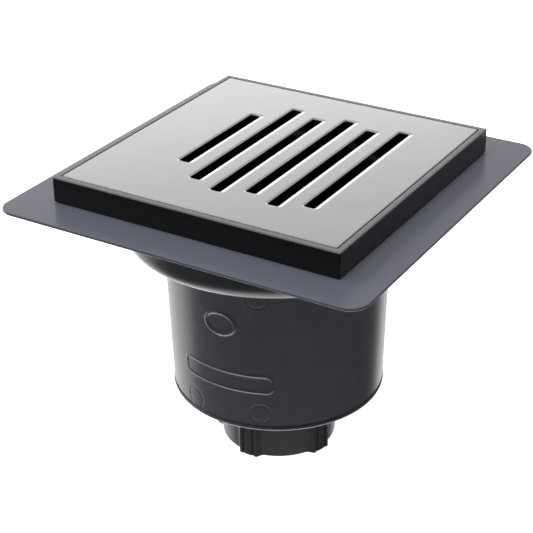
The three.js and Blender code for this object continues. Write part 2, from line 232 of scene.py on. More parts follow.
def rectangle(left, right, front, back, corner, height, side_steps=1, corner_steps=6):
    """Loop of points round a rectangle with rounded corners."""
    corner = max(min(corner, (right - left) / 2 - 1e-3, (back - front) / 2 - 1e-3), 0.02)
    centres = [(right, front, -90), (right, back, 0), (left, back, 90), (left, front, 180)]
    arcs = []
    for x, y, first in centres:
        cx = x - math.copysign(corner, x - (left + right) / 2)
        cy = y - math.copysign(corner, y - (front + back) / 2)
        turns = [math.radians(first + 90 * k / corner_steps) for k in range(corner_steps + 1)]
        arcs.append([Vector((cx + corner * math.cos(t), cy + corner * math.sin(t), height)) for t in turns])
    loop = []
    for arc, following in zip(arcs, arcs[1:] + arcs[:1]):
        loop += arc
        loop += [arc[-1].lerp(following[0], k / side_steps) for k in range(1, side_steps)]
    return [tuple(point) for point in loop]


def spokes(half, corner, side_steps=40, corner_steps=8):
    """Polar angles that suit a square with rounded corners and the circles that join it."""
    limit = math.atan2(half - corner, half)
    inner = Vector((half - corner, half - corner))
    angles = []
    for quarter in range(4):
        turn = quarter * math.pi / 2
        angles += [turn - limit + 2 * limit * k / side_steps for k in range(side_steps + 1)]
        for k in range(1, corner_steps):
            bend = math.pi / 2 * k / corner_steps
            point = inner + corner * Vector((math.cos(bend), math.sin(bend)))
            angles.append(turn + math.atan2(point.y, point.x))
    return angles


def square(half, corner, height, angles):
    """Loop round a square with rounded corners, or round a circle where the corner is half the side."""
    flat = half - corner
    loop = []
    for angle in angles:
        turn = abs((angle + math.pi / 4) % (math.pi / 2) - math.pi / 4)
        if math.tan(turn) * half <= flat:
            reach = half / math.cos(turn)
        else:
            along = flat * (math.cos(turn) + math.sin(turn))
            reach = along + math.sqrt(max(0, along * along - 2 * flat * flat + corner * corner))
        loop.append(polar(reach, angle, height))
    return loop


def coil(radius, bottom, top, pitch, height, width, steps=96):
    """Screw thread: one ridge that winds round a cylinder, with its ends run out to nothing."""
    turns = (top - bottom) / pitch
    total = int(turns * steps)
    section = [(-0.2, -width / 2), (height, -width / 6), (height, width / 6), (-0.2, width / 2)]
    loops = []
    for i in range(total + 1):
        angle = 2 * math.pi * i / steps
        fade = min(1, 6 * i / steps, 6 * (total - i) / steps)
        z = bottom + pitch * i / steps
        loops.append(
            [polar(radius + (out * fade if out > 0 else out), angle, z + up) for out, up in section]
        )
    return capped(loops)


def to_object(name, points, faces):
    """Object in metres from points in millimetres."""
    mesh = bpy.data.meshes.new(name)
    mesh.from_pydata([Vector(point) * MM for point in points], [], faces)
    bm = bmesh.new()
    bm.from_mesh(mesh)
    bmesh.ops.remove_doubles(bm, verts=bm.verts, dist=MERGE * MM)
    bmesh.ops.dissolve_degenerate(bm, edges=bm.edges, dist=MERGE / 10 * MM)
    bmesh.ops.recalc_face_normals(bm, faces=bm.faces)
    bm.to_mesh(mesh)
    bm.free()
    obj = bpy.data.objects.new(name, mesh)
    bpy.context.scene.collection.objects.link(obj)
    return obj


def combine(obj, shapes, operation):
    """Joins closed shapes to obj (UNION) or cuts them out of it (DIFFERENCE)."""
    points, faces = [], []
    for shape_points, shape_faces in shapes:
        faces += [tuple(len(points) + i for i in face) for face in shape_faces]
        points += shape_points
    tool = to_object("tool", points, faces)
    change = obj.modifiers.new("change", "BOOLEAN")
    change.object, change.operation, change.solver = tool, operation, "EXACT"
    graph = bpy.context.evaluated_depsgraph_get()
    obj.data = bpy.data.meshes.new_from_object(obj.evaluated_get(graph))
    obj.modifiers.clear()
    bpy.data.objects.remove(tool)
    return obj


def copies(shape, count, x=0.0, first=0.0):
    """Copies of a shape moved out along X and turned about Z."""
    points, faces = shape
    made = []
    for i in range(count):
        turn = Matrix.Rotation(math.radians(first + 360 * i / count), 3, "Z")
        made.append(([tuple(turn @ (Vector(p) + Vector((x, 0, 0)))) for p in points], faces))
    return made


def add_piece(node, obj, body, material):
    """Makes obj the visible piece that stands for a CAD node."""
    obj.name = f"{node}_fine"
    obj.data.name = obj.name
    obj.data.materials.clear()
    obj.data.materials.append(material)
    for polygon in obj.data.polygons:
        polygon.use_smooth = True
    obj.data.set_sharp_from_angle(angle=SHARP)
    weighted = obj.modifiers.new("normals", "WEIGHTED_NORMAL")
    weighted.keep_sharp = True
    weighted.weight = NORMAL_WEIGHT
    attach(obj, body)
    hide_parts(node)
    return obj


def add_turned(node, outline, body, material, steps=LARGE):
    """The same for a piece that is turned about Z."""
    points, faces = revolve(soften(outline), steps)
    return add_piece(node, to_object(node, points, faces), body, material)


# ---------------------------------------------------------------- materials
class Paint:
    """A Principled material and the nodes that it is built from. Noise is in cycles per millimetre."""

    def __init__(self, name, color, roughness, metallic=0.0, specular=0.5):
        self.material = bpy.data.materials.new(name)
        self.material.use_nodes = True
        self.tree = self.material.node_tree
        self.shader = self.tree.nodes["Principled BSDF"]
        self.place = self.add("ShaderNodeTexCoord").outputs["Object"]
        self.set("Base Color", (*color, 1))
        self.set("Roughness", roughness)
        self.set("Metallic", metallic)
        self.set("IOR", 1.5)
        self.set("Specular IOR Level", specular)
        self.color, self.roughness = color, roughness
        self.normal = None

    def add(self, kind):
        return self.tree.nodes.new(kind)

    def link(self, source, target):
        self.tree.links.new(source, target)

    def set(self, socket, value):
        self.shader.inputs[socket].default_value = value

    def noise(self, per_mm, detail=2, stretch=(1, 1, 1)):
        """Noise value with per_mm cycles per millimetre, stretched along each axis."""
        mapping = self.add("ShaderNodeMapping")
        mapping.inputs["Scale"].default_value = [per_mm / MM / s for s in stretch]
        texture = self.add("ShaderNodeTexNoise")
        texture.inputs["Scale"].default_value = 1
        texture.inputs["Detail"].default_value = detail
        texture.inputs["Roughness"].default_value = 0.5
        self.link(self.place, mapping.inputs["Vector"])
        self.link(mapping.outputs["Vector"], texture.inputs["Vector"])
        return texture.outputs["Fac"]

    def spread(self, value, low, high, start=0.2, end=0.8):
        """Eases a value from start..end to low..high."""
        node = self.add("ShaderNodeMapRange")
        node.interpolation_type = "SMOOTHSTEP"
        node.inputs["From Min"].default_value = start
        node.inputs["From Max"].default_value = end
        node.inputs["To Min"].default_value = low
        node.inputs["To Max"].default_value = high
        self.link(value, node.inputs["Value"])
        return node.outputs["Result"]

    def vary_roughness(self, value, amount):
        """Makes the roughness go up and down by an amount."""
        self.link(
            self.spread(value, self.roughness - amount, self.roughness + amount),
            self.shader.inputs["Roughness"],
        )

    def vary_color(self, value, amount):
        """Lightens and darkens the base colour by a share of itself."""
        mix = self.add("ShaderNodeMix")
        mix.data_type = "RGBA"
        mix.inputs["A"].default_value = (*(c * (1 - amount) for c in self.color), 1)
        mix.inputs["B"].default_value = (*(c * (1 + amount) for c in self.color), 1)
        self.link(self.spread(value, 0, 1), mix.inputs["Factor"])
        self.link(mix.outputs["Result"], self.shader.inputs["Base Color"])

    def recolor_above(self, height, fade, color):
        """Changes the colour above a height; heights are in millimetres."""
        place = self.add("ShaderNodeSeparateXYZ")
        self.link(self.place, place.inputs[0])
        mix = self.add("ShaderNodeMix")
        mix.data_type = "RGBA"
        factor = self.spread(place.outputs["Z"], 0, 1, height * MM, (height + fade) * MM)
        self.link(factor, mix.inputs["Factor"])
        links = self.shader.inputs["Base Color"].links
        if links:
            self.link(links[0].from_socket, mix.inputs["A"])
        else:
            mix.inputs["A"].default_value = (*self.color, 1)
        mix.inputs["B"].default_value = (*color, 1)
        self.link(mix.outputs["Result"], self.shader.inputs["Base Color"])

    def bump(self, value, height_mm, strength):
        """Adds relief; a second one lies on top of the first."""
        node = self.add("ShaderNodeBump")
        node.inputs["Distance"].default_value = height_mm * MM
        node.inputs["Strength"].default_value = strength
        self.link(value, node.inputs["Height"])
        if self.normal:
            self.link(self.normal, node.inputs["Normal"])
        self.normal = node.outputs["Normal"]
        self.link(self.normal, self.shader.inputs["Normal"])


def plate_steel():
    """Satin stainless sheet: a very fine straight grain, with faint handling marks."""
    paint = Paint("plate_steel", (0.58, 0.575, 0.57), 0.26, metallic=1)
    paint.bump(paint.noise(1, stretch=(30, 1, 1)), 0.002, 0.5)
    marks = paint.noise(0.7, detail=1, stretch=(24, 1, 1))
    paint.vary_roughness(marks, 0.012)
    paint.vary_color(marks, 0.015)
    return paint.material


def fixing_steel():
    """Duller steel of the studs, clips and screws."""
    paint = Paint("fixing_steel", (0.42, 0.42, 0.43), 0.32, metallic=1)
    paint.bump(paint.noise(3), 0.01, 0.6)
    paint.vary_roughness(paint.noise(0.6, detail=1), 0.08)
    return paint.material


def moulded(name, color, roughness, grain=0.004, specular=0.5):
    """Paint for moulded plastic: fine texture of the tool, uneven gloss and soft patches of tone."""
    paint = Paint(name, color, roughness, specular=specular)
    paint.bump(paint.noise(0.9, detail=1), grain, 0.5)
    paint.vary_roughness(paint.noise(1.1, detail=0), 0.02)
    paint.vary_color(paint.noise(0.12), 0.08)
    return paint


def frame_plastic():
    """Black plastic, with a painted highlight: the top of the tray's rim is painted paler in place of its
    reflection of the bright surroundings.
    """
    paint = moulded("frame_plastic", (0.005, 0.005, 0.0055), 0.28, grain=0.002, specular=0.4)
    # Painted highlight: the top of the tray's rim is painted pale grey for the sheen it catches.
    paint.recolor_above(tray.top - 0.9, 0.5, (0.13, 0.13, 0.138))
    return paint.material


def flange_plastic():
    """Grey plastic, with painted shade: the tub below the flange is painted darker than the flange, for the
    flange's shadow on it.
    """
    paint = moulded("flange_plastic", (0.045, 0.045, 0.05), 0.24, grain=0.002, specular=0.35)
    # Painted shade: the darker base colour stays on the tub under the flange, and the flange above it gets a
    # lighter colour.
    paint.recolor_above(tub.top - FLANGE["thick"] - 0.3, 0.3, (0.1, 0.104, 0.131))
    return paint.material


def body_plastic():
    """Dark blue-grey plastic with faint rings round it."""
    paint = moulded("body_plastic", (0.075, 0.076, 0.093), 0.3, grain=0.003)
    paint.bump(paint.noise(0.45, stretch=(60, 60, 1)), 0.02, 0.25)
    return paint.material


MATERIALS = {
    "plate_steel": plate_steel(),
    "fixing_steel": fixing_steel(),
    "frame_plastic": frame_plastic(),
    "flange_plastic": flange_plastic(),
    "body_plastic": body_plastic(),
    "nut_plastic": moulded("nut_plastic", (0.045, 0.045, 0.051), 0.36, specular=0.35).material,
    "trap_plastic": moulded("trap_plastic", (0.014, 0.014, 0.018), 0.2, grain=0.002).material,
    "seal_rubber": moulded("seal_rubber", (0.012, 0.012, 0.012), 0.7, grain=0.015, specular=0.35).material,
}


# ---------------------------------------------------------------- grate
def slot_outlines():
    """(left, right, front, back) of each slot of the plate."""
    for number in range(SLOT["count"]):
        middle = SLOT["first"] + SLOT["pitch"] * number
        ends = SLOT_SHORT if number == 0 else SLOT_FAR if number % 2 else SLOT_NEAR
        yield middle - SLOT["width"] / 2, middle + SLOT["width"] / 2, *ends


def under_edge():
    """(distance from the sheet's side, height) points of the small chamfer at its underside."""
    return [(0, plate.bottom + PLATE["chamfer"]), (PLATE["chamfer"], plate.bottom)]


def rolled_edge():
    """(distance from the sheet's side, height) points over its rolled rim, from the flat top down."""
    steps = 6
    points = []
    for k in range(steps + 1):
        angle = math.pi / 2 * k / steps
        drop = PLATE["drop"] * (1 - math.cos(angle))
        points.append((PLATE["roll"] * (1 - math.sin(angle)), plate.top - drop))
    return points + under_edge()


def pressed_edge():
    """The same over the edge of a slot, where the sheet is pressed down in a gentle slope."""
    slope = [
        (PLATE["bevel"] + 1, plate.top),
        (PLATE["bevel"], plate.top, 2.5),
        (0, plate.top - PLATE["bevel_drop"], 0.2),
        (0, plate.bottom),
    ]
    return soften(slope, closed=False)[1:-1] + under_edge()


def grate_plate():
    """Stamped sheet with rolled rims and slots that are pressed down along their edges."""
    points, faces, tops, bottoms = [], [], [], []

    def boundary(loops):
        start = len(points)
        more, sides = strips(loops, closed=False)
        points.extend(more)
        faces.extend(tuple(start + i for i in face) for face in sides)
        count = len(loops[0])
        tops.append(range(start, start + count))
        bottoms.append(range(start + len(more) - count, start + len(more)))

    boundary(
        [
            rectangle(
                plate.left + PLATE["inset"] + inset,
                plate.right - PLATE["inset"] - inset,
                plate.front + PLATE["inset"] + inset,
                plate.back - PLATE["inset"] - inset,
                PLATE["corner"] - inset,
                height,
            )
            for inset, height in rolled_edge()
        ]
    )
    for left, right, front, back in slot_outlines():
        boundary(
            [
                rectangle(
                    left - out * BEVEL_SHARE["left"],
                    right + out * BEVEL_SHARE["right"],
                    front - out * BEVEL_SHARE["front"],
                    back + out * BEVEL_SHARE["back"],
                    SLOT["corner"] + out * BEVEL_SHARE["left"],
                    height,
                )
                for out, height in pressed_edge()
            ]
        )
    for rims in (tops, bottoms):
        rings = [[Vector(points[i]) for i in rim] for rim in rims]
        flat = [i for rim in rims for i in rim]
        faces.extend(tuple(flat[i] for i in triangle) for triangle in tessellate_polygon(rings))
    return to_object("grate_plate", points, faces)


def grate_carrier():
    """Square ring of channel section, open underneath, with a hole for each stud."""
    top, bottom, edge = carrier.top, carrier.bottom, CARRIER["edge"]
    ceiling = top - CARRIER["thick"]
    wall = CARRIER["wall"]
    left, right, front, back = CARRIER["window"]
    outside = soften(
        [(wall, ceiling), (wall, bottom, 0.2), (0, bottom, 0.2), (0, top, edge), (4, top)], closed=False
    )
    inside = soften(
        [(4, top), (0, top, edge), (0, bottom, 0.2), (wall, bottom, 0.2), (wall, ceiling)], closed=False
    )
    steps = {"side_steps": 12}
    loops = [
        rectangle(carrier.left + d, carrier.right - d, carrier.front + d, carrier.back - d, 1, z, **steps)
        for d, z in outside
    ]
    loops += [
        rectangle(left - d, right + d, front - d, back + d, CARRIER["corner"] + d, z, **steps)
        for d, z in inside
    ]
    obj = to_object("grate_carrier", *strips(loops))
    return combine(obj, at_studs(pin(STUD_RADIUS + GAP, ceiling - 1, top + 1)), "DIFFERENCE")


def at_studs(shape):
    """Copies of a shape at the places of the four studs."""
    points, faces = shape
    signs = ((1, 1), (-1, 1), (-1, -1), (1, -1))
    return [([(x + i * STUD_X, y + j * STUD_Y, z) for x, y, z in points], faces) for i, j in signs]


def stud_shape():
    """Welded stud with shallow grooves that the clip bites on."""
    outline = [(0, stud.top), (STUD_RADIUS, stud.top, 0.1)]
    height = stud.top - 4
    while height > stud.bottom + 1:
        outline += [
            (STUD_RADIUS, height, 0.05),
            (STUD_RADIUS - 0.2, height - 0.25),
            (STUD_RADIUS, height - 0.5, 0.05),
        ]
        height -= 0.8
    outline += [(STUD_RADIUS, stud.bottom, 0.5), (0, stud.bottom)]
    return revolve(soften(outline), TINY)


def clip_shape():
    """Push-on clip: a dished washer with teeth round its hole."""
    teeth = 8
    steps = teeth * 8
    radius = clip.radius

    def loop(outer, height, toothed=False):
        points = []
        for i in range(steps):
            angle = 2 * math.pi * i / steps
            reach = outer + (0.7 if toothed and i % 8 in (0, 7) else 0)
            points.append(polar(reach, angle, height))
        return points

    inner = STUD_RADIUS + GAP
    loops = [
        loop(inner, clip.bottom, True),
        loop(radius - 0.2, clip.bottom + 0.25),
        loop(radius, clip.bottom + 0.4),
        loop(radius - 0.1, clip.top),
        loop(inner, clip.top - 0.25, True),
    ]
    return strips(loops)


def add_grate():
    steel, fixing, plastic = MATERIALS["plate_steel"], MATERIALS["fixing_steel"], MATERIALS["frame_plastic"]
    add_piece("grate_plate", grate_plate(), "grate", steel)
    add_piece("grate_carrier", grate_carrier(), "grate", plastic)
    for node, shape in (("plate_stud", stud_shape()), ("stud_clip", clip_shape())):
        for number, (points, faces) in enumerate(at_studs(shape), 1):
            obj = to_object(node, points, faces)
            add_piece(f"{node}_{number}", obj, "grate", fixing)


# ---------------------------------------------------------------- top frame
def top_frame():
    """Square tray with a round neck under it. The neck has a seat for its seal."""
    half, corner = tray.radius, TRAY["corner"]
    inner = half - TRAY["wall"]
    floor = tub.top + GAP + TRAY["floor"]
    under = tub.top + GAP
    angles = spokes(half, corner)
    walls = soften(
        [
            (inner - 6, under),
            (half, under, 0.6),
            (half, tray.top, 0.7),
            (inner, tray.top, 0.4),
            (inner, floor, 0.8),
            (inner - 6, floor),
        ],
        closed=False,
    )
    loops = []
    for size, height in walls:
        bend = corner if size < half - 1.2 else max(corner - (half - size), 0.3)
        loops.append(square(size, bend, height, angles))
    bore, outer, seat = NECK["inner"], NECK["outer"], NECK["seat"]
    neck = soften(
        [
            (bore + 8, floor),
            (bore + NECK["funnel"], floor, 0.7),
            (bore, floor - NECK["funnel"], 0.7),
            (bore, tray.bottom, 0.3),
            (outer, tray.bottom, 0.5),
            (outer, NECK["seat_bottom"], 0.15),
            (seat, NECK["seat_bottom"], 0.1),
            (seat, NECK["seat_top"], 0.1),
            (outer, NECK["seat_top"], 0.15),
            (outer, under, 0.8),
            (outer + 6, under),
        ],
        closed=False,
    )
    loops += [square(radius, radius, height, angles) for radius, height in neck]
    return to_object("top_frame", *strips(loops))


def add_frame():
    add_piece("top_frame", top_frame(), "frame", MATERIALS["frame_plastic"])
    low, high, outer = neck_ring.bottom, neck_ring.top, neck_ring.radius
    inner = NECK["seat"] + GAP
    root = outer - 0.8
    outline = [
        (inner, low, 0.15),
        (root, low, 0.3),
        (outer, (low + high) / 2, 0.4),
        (root, high, 0.3),
        (inner, high, 0.15),
    ]
    add_turned("neck_seal", outline, "frame_neck", MATERIALS["seal_rubber"])


# ---------------------------------------------------------------- flange and tub
def flange_tub():
    """Square flange with the tub moulded under it, and six bosses for the clamp screws."""
    half, corner = tub.radius, FLANGE["corner"]
    under = tub.top - FLANGE["thick"]
    angles = spokes(half, corner)
    edge = [(half - 4, under), (half, under, 0.35), (half, tub.top, 0.5), (half - 4, tub.top)]
    edge = soften(edge, closed=False)
    loops = [square(size, corner - (half - size), height, angles) for size, height in edge]
    foot = []
    steps = 12
    for k in range(1, steps):
        angle = math.pi / 2 * (1 - k / steps)
        reach = TUB["foot"] + (TUB["outer"] - TUB["foot"]) * math.cos(angle)
        foot.append((reach, TUB["shoulder"] - (TUB["shoulder"] - TUB["bottom"]) * math.sin(angle)))
    well = soften(
        [
            (TUB["inner"] + 4, tub.top),
            (TUB["inner"], tub.top, 0.6),
            (TUB["inner"], TUB_SLOPE_TOP, 2),
            (TUB_SLOPE, TUB["floor"], 2),
            (TUB_HOLE, TUB["floor"], 0.3),
            (TUB_HOLE, TUB["bottom"], 0.3),
            (TUB["foot"], TUB["bottom"]),
            *foot,
            (TUB["outer"], TUB["shoulder"]),
            (TUB["outer"], under, 1.2),
            (TUB["outer"] + 4, under),
        ],
        closed=False,
    )
    loops += [square(radius, radius, height, angles) for radius, height in well]
    obj = to_object("flange_tub", *strips(loops))
    boss_top = TUB["floor"] - 0.5
    boss = [(0, tub.bottom), (BOSS_RADIUS, tub.bottom, 0.4), (BOSS_RADIUS, boss_top), (0, boss_top)]
    combine(obj, copies(revolve(soften(boss), TINY), SCREW_COUNT, SCREW_CIRCLE), "UNION")
    pilot = pin(SCREW_RADIUS + GAP, screw.bottom - GAP, tub.top)
    return combine(obj, copies(pilot, SCREW_COUNT, SCREW_CIRCLE), "DIFFERENCE")


def pierced_ring(inner, span, edge):
    """Flat ring with a hole for each clamp screw."""
    outline = ring_outline(inner, span.radius, span.bottom, span.top, edge, edge)
    return drill(to_object("ring", *revolve(soften(outline))), span.bottom, span.top)


def drill(obj, bottom, top):
    """Cuts a clearance hole for each clamp screw through obj, between two heights."""
    hole = pin(SCREW_RADIUS + GAP, bottom - 1, top + 1)
    return combine(obj, copies(hole, SCREW_COUNT, SCREW_CIRCLE), "DIFFERENCE")


def clamp_screw():
    """Pan-head screw with a cross recess and a thread, at the origin."""
    seat = clamp.top + GAP
    top = screw.top
    outline = [
        (0, screw.bottom),
        (SCREW_RADIUS - 0.4, screw.bottom + SCREW_RADIUS, 0.3),
        (SCREW_RADIUS - 0.4, seat, 0.1),
        (SCREW_HEAD, seat, 0.2),
        (SCREW_HEAD, seat + 1, 0.8),
        (SCREW_HEAD * 0.6, top, 1.2),
        (0, top),
    ]
    obj = to_object("screw", *revolve(soften(outline), TINY))
    thread = coil(SCREW_RADIUS - 0.4, screw.bottom + 2, seat - 2, 1.4, 0.4, 0.9, TINY)
    combine(obj, [thread], "UNION")
    combine(obj, [block(-1.95, 1.95, -0.4, 0.4, top - 1, top + 1)], "DIFFERENCE")
    return combine(obj, [block(-0.4, 0.4, -1.95, 1.95, top - 1, top + 1)], "DIFFERENCE")


def add_flange():
    add_piece("flange_tub", flange_tub(), "drain_body", MATERIALS["flange_plastic"])
    rings = (
        ("body_gasket", GASKET_HOLE, gasket, "seal_rubber"),
        ("clamp_ring", CLAMP_HOLE, clamp, "body_plastic"),
    )
    for node, hole, span, slot in rings:
        add_piece(node, pierced_ring(hole, span, 0.5), "drain_body", MATERIALS[slot])
    master = clamp_screw()
    for i in range(SCREW_COUNT):
        mesh = master.data.copy()
        obj = bpy.data.objects.new("screw", mesh)
        turn = Matrix.Rotation(2 * math.pi * i / SCREW_COUNT, 4, "Z")
        mesh.transform(turn @ Matrix.Translation((SCREW_CIRCLE * MM, 0, 0)))
        bpy.context.scene.collection.objects.link(obj)
        add_piece(f"clamp_screw_{i + 1}", obj, "drain_body", MATERIALS["fixing_steel"])
    bpy.data.objects.remove(master)


# ---------------------------------------------------------------- body
MARK_FROM, MARK_TO = -126, -54  # degrees of the shell's wall that carry moulded marks
MARK_STEP, PLAIN_STEP = 0.5, 2.25  # degrees between the wall's columns
GATES = [(-68.5, 41.9), (-108.2, 40.9), (-69.3, 106)]  # angle and height of the moulding gates
GATE_RADIUS, GATE_LINE, GATE_DEPTH = 5.0, 0.5, 0.22
BADGE = {"angle": -88.8, "height": 89.6, "width": 15.5, "tall": 11.5, "line": 0.9, "rise": 0.55}
PANEL = {"angle": -88, "height": 58.8, "width": 49, "tall": 9, "corner": 3, "line": 0.8, "rise": 0.32}


def bump_line(distance, half_width):
    """1 on a line, falling to 0 at half_width from it."""
    return max(0.0, 1 - (distance / half_width) ** 2) ** 2


def wall_relief(angle, height, radius):
    """How far the marks raise the wall at an angle in degrees and a height, in millimetres."""
    rise = 0.0
    for gate_angle, gate_height in GATES:
        across = math.radians(angle - gate_angle) * radius
        distance = math.hypot(across, height - gate_height)
        rise -= GATE_DEPTH * bump_line(abs(distance - GATE_RADIUS), GATE_LINE)
    across = math.radians(angle - BADGE["angle"]) * radius
    oval = math.hypot(across / (BADGE["width"] / 2), (height - BADGE["height"]) / (BADGE["tall"] / 2))
    rise += BADGE["rise"] * bump_line(abs(oval - 1) * BADGE["tall"] / 2, BADGE["line"])
    across = abs(math.radians(angle - PANEL["angle"]) * radius)
    up = abs(height - PANEL["height"])
    corner = PANEL["corner"]
    beyond = math.hypot(
        max(across - PANEL["width"] / 2 + corner, 0), max(up - PANEL["tall"] / 2 + corner, 0)
    )
    inside = max(across - PANEL["width"] / 2, up - PANEL["tall"] / 2)
    edge = beyond - corner if beyond > 0 else inside
    rise += PANEL["rise"] * bump_line(abs(edge), PANEL["line"])
    return rise


def body_shell():
    """Tapered shell with a collar for the clamp, and moulded marks on its front."""
    top, foot, wall = SHELL["top"], SHELL["foot"], SHELL["wall"]
    collar_bottom = shell.top - SHELL["collar"]
    rows = 150
    low, high = shell.bottom + 2, collar_bottom - 2
    heights = [low + (high - low) * k / rows for k in range(rows + 1)]
    side = [(foot + (top - foot) * (z - shell.bottom) / (collar_bottom - shell.bottom), z) for z in heights]
    start = soften(
        [
            (foot - wall, shell.bottom + 6),
            (foot - wall, shell.bottom, 0.3),
            (foot, shell.bottom, 0.25),
            side[0],
        ],
        closed=False,
    )[1:-1]
    end = soften(
        [
            side[-1],
            (top, collar_bottom, 0.8),
            (shell.radius, collar_bottom, 0.3),
            (shell.radius, shell.top, 0.3),
            (SHELL["bore"], shell.top, 0.5),
            (SHELL["bore"], SHELL["bore_end"], 0.5),
            (foot - wall, shell.bottom + 6),
        ],
        closed=False,
    )[1:-1]
    outline = start + side + end
    columns = int((MARK_TO - MARK_FROM) / MARK_STEP)
    rest = int((360 - (MARK_TO - MARK_FROM)) / PLAIN_STEP)
    angles = [MARK_FROM + MARK_STEP * k for k in range(columns)]
    angles += [MARK_TO + (360 - (MARK_TO - MARK_FROM)) / rest * k for k in range(rest)]
    loops = []
    for i, (radius, z) in enumerate(outline):
        marked = len(start) <= i < len(start) + len(side)
        loop = []
        for angle in angles:
            reach = radius + (wall_relief(angle, z, radius) if marked and angle <= MARK_TO else 0)
            loop.append(polar(reach, math.radians(angle), z))
        loops.append(loop)
    return drill(to_object("body_shell", *strips(loops)), collar_bottom, shell.top)


def body_base():
    """Disc that closes the body, with a kerb, a socket for the standpipe and a threaded spigot."""
    floor, plug = BASE["floor"], BASE["plug"]
    lip, groove = BASE_LIP["radius"], BASE_LIP["groove"]
    mouth = base.bottom
    outline = [
        (SPIGOT["outer"], BASE["bottom"], 0.8),
        (lip, BASE["bottom"], 1.0),
        (lip, BASE_LIP["top"] - groove, 0.5),
        (lip - groove, BASE_LIP["top"] - groove, 0.2),
        (lip - groove, BASE_LIP["top"], 0.1),
        (plug, BASE_LIP["top"], 0.2),
        (plug, base.top, 0.6),
        (plug - BASE["plug_wall"], base.top, 0.3),
        (plug - BASE["plug_wall"], floor, 0.8),
        (KERB["outer"], floor, 0.5),
        (KERB["outer"], KERB["top"], 0.4),
        (KERB["outer"] - KERB["wall"], KERB["top"], 0.4),
        (KERB["outer"] - KERB["wall"], floor, 0.5),
        (SOCKET["outer"], floor, 0.8),
        (SOCKET["outer"], SOCKET["top"], 0.5),
        (SOCKET["bore"], SOCKET["top"], 0.6),
        (SOCKET["bore"], SOCKET["bottom"], 0.2),
        (SPIGOT["stop"], SOCKET["bottom"], 0.3),
        (SPIGOT["stop"], SPIGOT["stop_bottom"], 0.3),
        (SPIGOT["bore"], SPIGOT["stop_bottom"], 0.2),
        (SPIGOT["bore"], mouth + SPIGOT["cone_height"], 0.5),
        (SPIGOT["bore"] + SPIGOT["cone"], mouth, 0.4),
        (SPIGOT["outer"], mouth, 0.5),
    ]
    obj = to_object("body_base", *revolve(soften(outline)))
    thread = coil(SPIGOT["outer"], mouth + 1.8, mouth + 16, THREAD_PITCH, 0.5, 1.6)
    return combine(obj, [thread], "UNION")


def standpipe():
    """Section of the pipe, with a seat for its seal and a collar that stops it in its socket."""
    outer, inner, collar = PIPE["outer"], PIPE["inner"], PIPE["collar"]
    collar_bottom = SOCKET["top"] + GAP
    seat = PIPE_SEAT
    return [
        (inner, pipe.bottom, 0.3),
        (outer, pipe.bottom, 0.5),
        (outer, seat["bottom"], 0.1),
        (seat["radius"], seat["bottom"], 0.1),
        (seat["radius"], seat["top"], 0.1),
        (outer, seat["top"], 0.1),
        (outer, collar_bottom, 0.1),
        (collar, collar_bottom, 0.4),
        (collar, collar_bottom + PIPE["collar_thick"], 0.6),
        (outer, collar_bottom + PIPE["collar_thick"], 0.8),
        (outer, pipe.top, 0.8),
        (inner, pipe.top, 0.8),
    ]


def trap_bell():
    """Domed bell that stands on four legs, with a flat grip on top."""
    skirt, shoulder, spring, wall = BELL["skirt"], BELL["shoulder"], BELL["spring"], BELL["wall"]

    def dome(thinner):
        steps = 24
        points = []
        for k in range(steps + 1):
            angle = math.pi / 2 * k / steps
            reach = 0 if k == steps else (shoulder - thinner) * math.cos(angle)
            points.append((reach, spring - thinner + (BELL["crown"] - spring) * math.sin(angle)))
        return points

    foot = bell.bottom
    inside = list(reversed(dome(wall)))
    rim = [inside[-1], (skirt - wall, foot, 0.5), (skirt, foot, 0.5), (shoulder, spring)]
    outline = inside + soften(rim, closed=False)[1:-1] + dome(0)
    obj = to_object("trap_bell", *revolve(outline))
    long, thick = GRIP_LENGTH / 2, GRIP_THICK / 2
    points, faces = block(-long, long, spring + wall, bell.top, -thick, thick, GRIP_CORNER, 0.8)
    combine(obj, [([(x, -z, y) for x, y, z in points], faces)], "UNION")
    leg = BELL_LEG_WIDTH / skirt
    near, far = 20, skirt + 1
    half = math.tan((2 * math.pi / BELL_LEGS - leg) / 2) * far
    corners = [(near, -half * near / far), (far, -half), (far, half), (near, half * near / far)]
    window = capped([[(x, y, z) for x, y in corners] for z in (foot - 1, BELL["mouth"])])
    return combine(obj, copies(window, BELL_LEGS), "DIFFERENCE")


def add_body():
    body, trap, rubber = MATERIALS["body_plastic"], MATERIALS["trap_plastic"], MATERIALS["seal_rubber"]
    add_piece("body_shell", body_shell(), "drain_body", body)
    add_piece("body_base", body_base(), "drain_body", body)
    add_turned("standpipe", standpipe(), "drain_body", trap, SMALL)
    inner = PIPE_SEAT["radius"] + GAP
    seal = ring_outline(inner, pipe_seal.radius, pipe_seal.bottom, pipe_seal.top, 0.3, 0.5)
    add_turned("standpipe_seal", seal, "drain_body", rubber, SMALL)
    add_piece("trap_bell", trap_bell(), "bell", trap)


